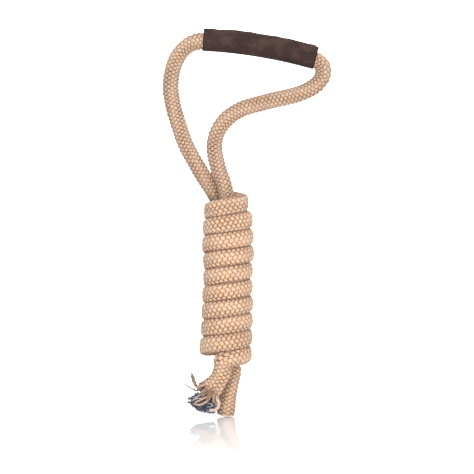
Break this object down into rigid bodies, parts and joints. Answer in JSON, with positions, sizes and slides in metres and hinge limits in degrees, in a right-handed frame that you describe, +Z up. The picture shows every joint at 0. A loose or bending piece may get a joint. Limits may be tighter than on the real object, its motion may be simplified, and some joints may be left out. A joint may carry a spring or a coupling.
{
  "type": "wound rope training leash handle",
  "caption": "Thick braided rope wound round itself into a rod, with a hand loop in a sewn leather grip above and two short tails below, one cut square and one frayed.",
  "frame": {"origin": "middle of the leather grip, inside the fingers of the hand that holds it", "axes": "+Z up along the hanging part, +X along the grip towards its lower end, +Y away from the viewer, across the flat of the loop"},
  "size_m": [0.1854, 0.0572, 0.4293],
  "materials": {
    "leather": "matte dark brown leather, smooth grain side out",
    "thread": "waxed brown sewing thread",
    "braid": "dry natural fibre yarns in a diamond braid",
    "fibre_core": "loose dark slate blue fibres",
    "yarn": "loose pale yarn ends"
  },
  "bodies": {
    "handle": {"grip_sleeve": "leather", "seam_thread_front": "thread", "seam_thread_back": "thread", "grip_rope_cover": "braid", "grip_rope_core": "fibre_core", "left_leg_cover": "braid", "left_leg_core": "fibre_core", "right_leg_cover": "braid", "right_leg_core": "fibre_core", "left_neck": "braid", "right_neck": "braid"},
    "coil": {"winding_lead_cover": "braid", "winding_lead_core": "fibre_core", "winding": "braid", "centre_strand_cover": "braid", "centre_strand_core": "fibre_core", "cut_tail_bend": "braid", "frayed_tail_bend": "braid"},
    "cut_tail": {"cut_tail_cover": "braid", "cut_tail_core": "fibre_core"},
    "frayed_tail": {"frayed_tail_cover": "braid", "frayed_tail_core": "fibre_core", "core_tuft": "fibre_core", "yarn_upright": "yarn", "yarn_thin": "yarn", "yarn_loop": "yarn", "yarn_pale": "yarn", "yarn_back": "yarn"}
  },
  "joints": [
    {"name": "coil_swing", "type": "hinge", "parent": "handle", "child": "coil", "pos_m": [-0.046, 0, -0.155], "axis": [1, 0, 0], "range_deg": [-40, 40], "deforming": ["left_neck", "right_neck"]},
    {"name": "cut_tail_flex", "type": "hinge", "parent": "coil", "child": "cut_tail", "pos_m": [-0.0286, 0.0078, -0.358], "axis": [0, 1, 0], "range_deg": [-25, 0], "stiffness_Nm_per_rad": 0.2, "deforming": ["cut_tail_bend"]},
    {"name": "frayed_tail_flex", "type": "hinge", "parent": "coil", "child": "frayed_tail", "pos_m": [-0.041, -0.0171, -0.355], "axis": [0, 1, 0], "range_deg": [0, 30], "stiffness_Nm_per_rad": 0.2, "deforming": ["frayed_tail_bend"]}
  ]
}
